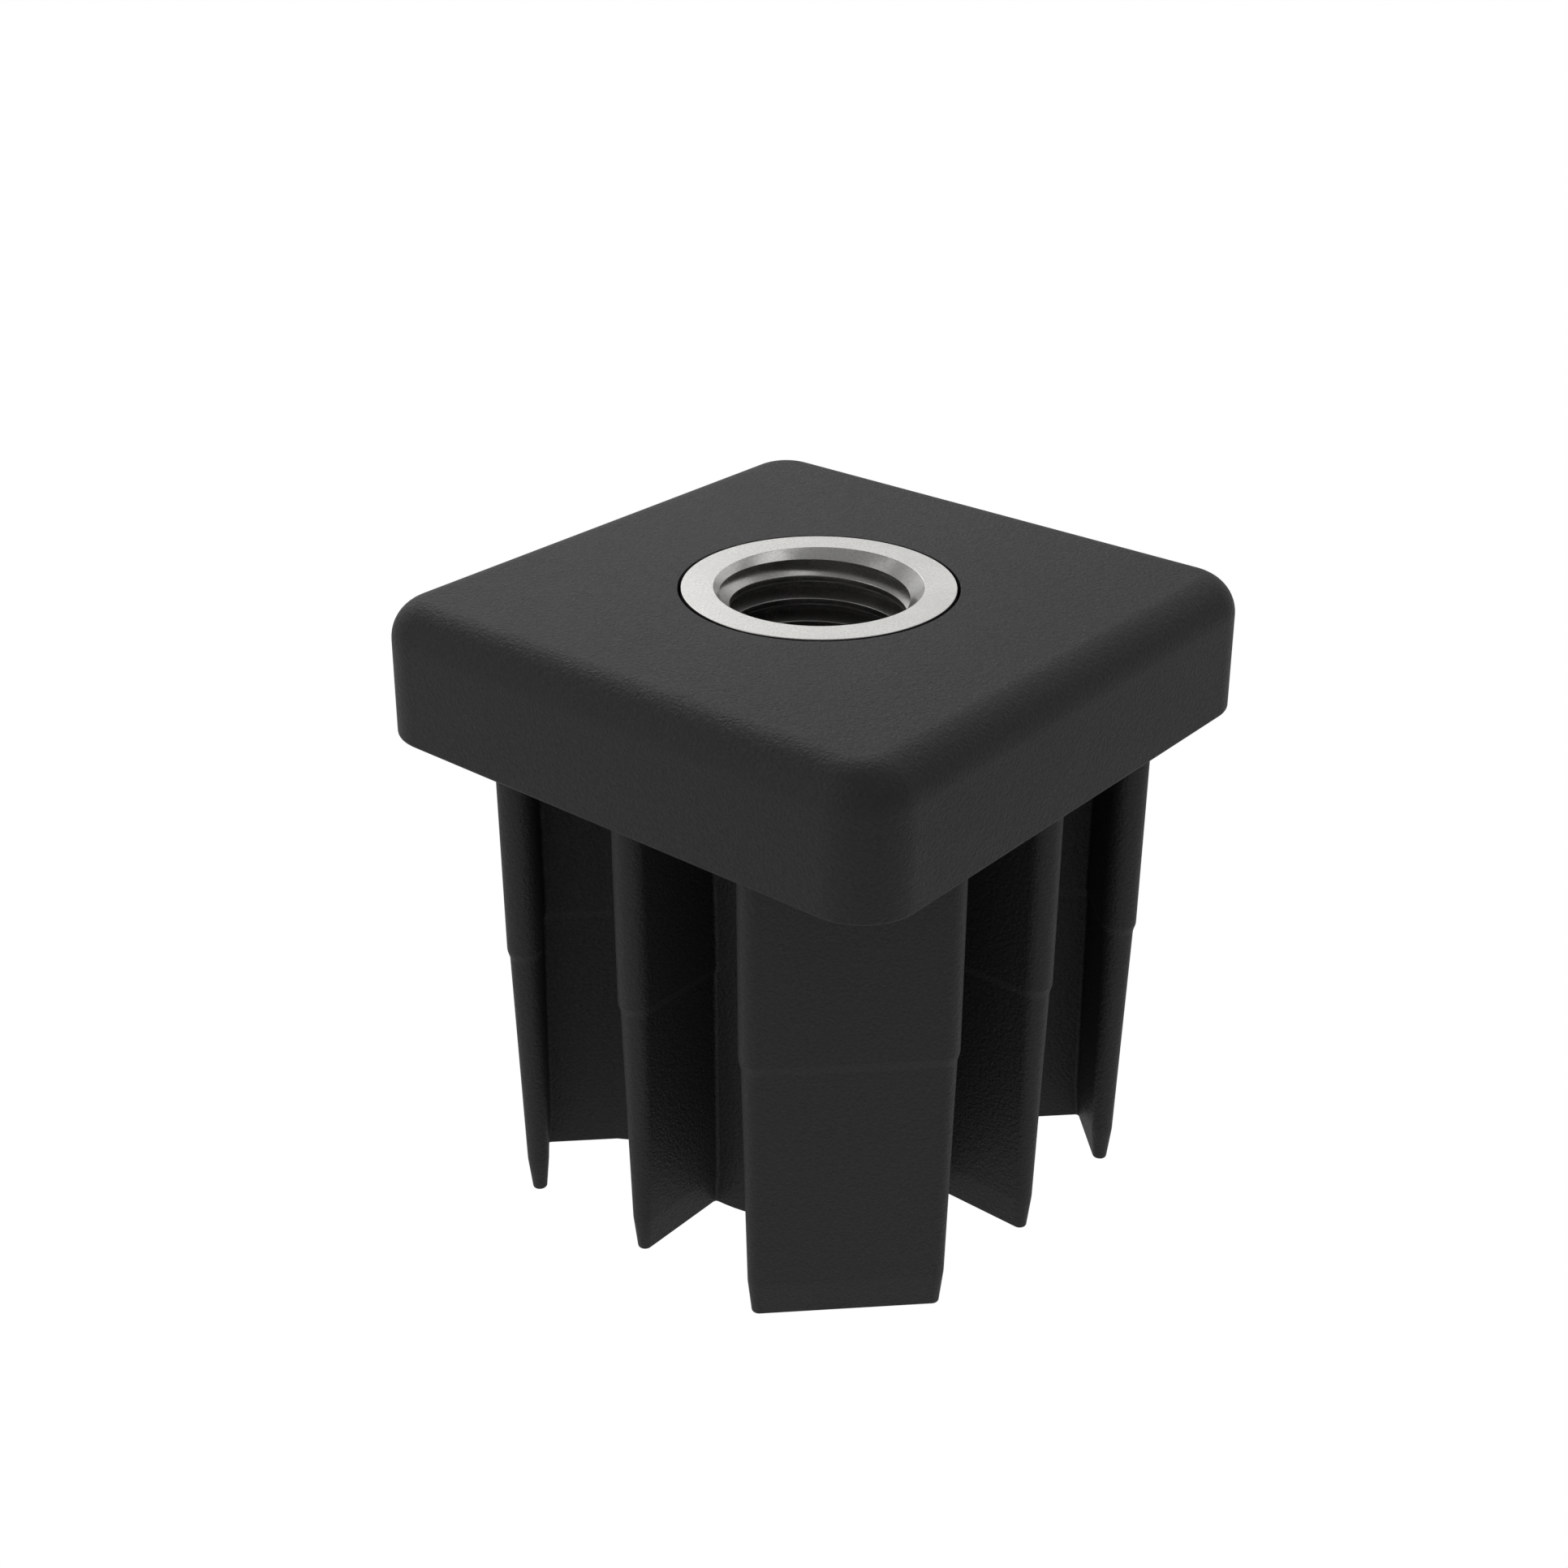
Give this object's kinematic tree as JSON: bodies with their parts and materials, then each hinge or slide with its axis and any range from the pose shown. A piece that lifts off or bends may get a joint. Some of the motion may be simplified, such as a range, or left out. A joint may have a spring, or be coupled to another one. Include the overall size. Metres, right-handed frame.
{
  "type": "threaded tube insert",
  "caption": "Square end plug for a steel tube: a moulded cap with ribs that grip inside the tube and a flanged steel bush threaded for a levelling foot.",
  "frame": {"origin": "on the thread's axis, in the plane of the cap's underside, which seats on the end of the tube", "axes": "+Z along the thread, out of the tube and out of the cap; X and Y square to the cap's sides"},
  "size_m": [0.05, 0.05, 0.0513],
  "materials": {
    "plug_plastic": "black, with a fine moulded grain",
    "bush_steel": "bright zinc plate, finely blasted on the face"
  },
  "bodies": {
    "root": {"plug_body": "plug_plastic", "threaded_bush": "bush_steel"}
  },
  "joints": []
}
